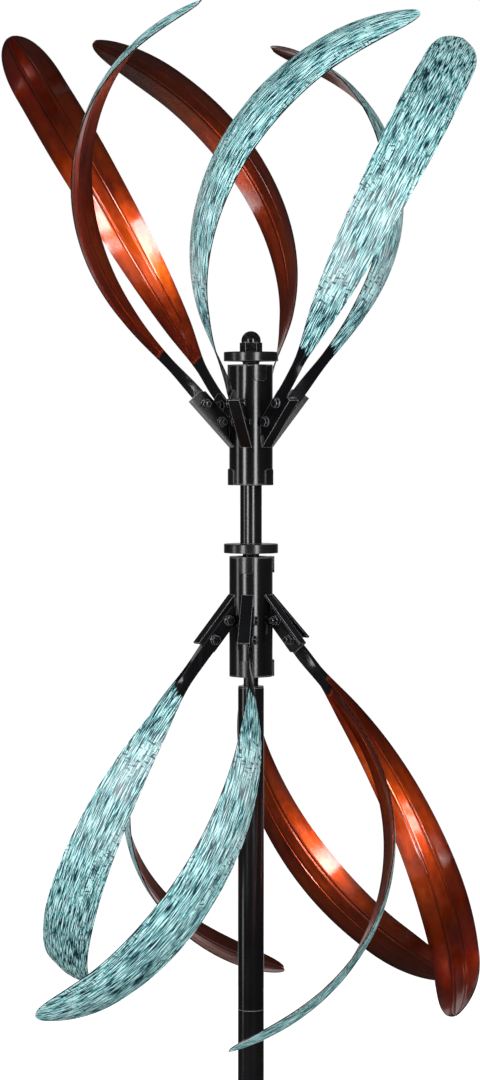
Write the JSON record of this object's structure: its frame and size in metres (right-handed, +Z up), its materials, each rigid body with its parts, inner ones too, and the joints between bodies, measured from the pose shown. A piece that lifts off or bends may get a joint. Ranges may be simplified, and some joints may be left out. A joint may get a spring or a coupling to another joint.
{
  "type": "garden wind spinner",
  "caption": "Tall garden wind spinner with two counter-turning rotors of long curved leaves on one axle, on a black pole with a ground fork.",
  "frame": {"origin": "on the pole's axis at the ground line, at the underside of the step plate, where the centre spike starts", "axes": "+Z up along the pole, -Y towards the front view, +X to the right of that view"},
  "size_m": [0.4629, 0.4377, 1.704],
  "materials": {
    "black_paint": "semi-gloss black powder coat on steel",
    "leaf_paint": "brushed verdigris outside, candied copper inside, black at the strap",
    "black_plastic": "satin black moulded plastic",
    "black_fasteners": "black zinc plated screws, nuts and washers",
    "dark_steel": "oiled dark steel",
    "bearing_steel": "ground bearing steel"
  },
  "bodies": {
    "root": {"ground_fork": "black_paint", "lower_pole": "black_paint", "upper_pole": "black_paint", "pole_top_plug": "black_plastic", "axle_rod": "dark_steel", "lower_axle_sleeve": "dark_steel", "lower_race_spacer": "dark_steel", "upper_race_spacer": "dark_steel", "middle_lock_nut": "black_fasteners", "middle_rain_disc": "black_plastic", "spacer_tube": "black_paint", "spacer_end_washer": "dark_steel", "top_spacer_nut": "black_fasteners", "top_rain_disc": "black_plastic", "cap_nut": "black_fasteners", "upper_inner_races": "bearing_steel", "lower_inner_races": "bearing_steel"},
    "upper_rotor": {"upper_hub_tube": "black_paint", "upper_bracket_1": "black_paint", "upper_bracket_2": "black_paint", "upper_bracket_3": "black_paint", "upper_bracket_4": "black_paint", "upper_bracket_5": "black_paint", "upper_bracket_6": "black_paint", "upper_blade_1": "leaf_paint", "upper_blade_2": "leaf_paint", "upper_blade_3": "leaf_paint", "upper_blade_4": "leaf_paint", "upper_blade_5": "leaf_paint", "upper_blade_6": "leaf_paint", "upper_blade_screws": "black_fasteners", "upper_blade_nuts": "black_fasteners", "upper_blade_washers": "black_fasteners", "upper_hub_outer_carrier": "black_plastic", "upper_hub_inner_carrier": "black_plastic", "upper_outer_races": "bearing_steel"},
    "lower_rotor": {"lower_hub_tube": "black_paint", "lower_bracket_1": "black_paint", "lower_bracket_2": "black_paint", "lower_bracket_3": "black_paint", "lower_bracket_4": "black_paint", "lower_bracket_5": "black_paint", "lower_bracket_6": "black_paint", "lower_blade_1": "leaf_paint", "lower_blade_2": "leaf_paint", "lower_blade_3": "leaf_paint", "lower_blade_4": "leaf_paint", "lower_blade_5": "leaf_paint", "lower_blade_6": "leaf_paint", "lower_blade_screws": "black_fasteners", "lower_blade_nuts": "black_fasteners", "lower_blade_washers": "black_fasteners", "lower_hub_outer_carrier": "black_plastic", "lower_hub_inner_carrier": "black_plastic", "lower_outer_races": "bearing_steel"},
    "upper_ball_set": {"upper_bearing_balls": "bearing_steel", "upper_ball_cages": "bearing_steel"},
    "lower_ball_set": {"lower_bearing_balls": "bearing_steel", "lower_ball_cages": "bearing_steel"}
  },
  "joints": [
    {"name": "upper_spin", "type": "hinge", "parent": "root", "child": "upper_rotor", "pos_m": [0, 0, 1.113], "axis": [0, 0, 1], "continuous": true},
    {"name": "lower_spin", "type": "hinge", "parent": "root", "child": "lower_rotor", "pos_m": [0, 0, 0.9265], "axis": [0, 0, -1], "continuous": true},
    {"name": "upper_ball_roll", "type": "hinge", "parent": "root", "child": "upper_ball_set", "pos_m": [0, 0, 1.113], "axis": [0, 0, 1], "continuous": true},
    {"name": "lower_ball_roll", "type": "hinge", "parent": "root", "child": "lower_ball_set", "pos_m": [0, 0, 0.9265], "axis": [0, 0, -1], "continuous": true}
  ],
  "couplings": [
    {"joint": "upper_ball_roll", "follows": "upper_spin", "ratio": 0.619},
    {"joint": "lower_ball_roll", "follows": "lower_spin", "ratio": 0.619}
  ]
}
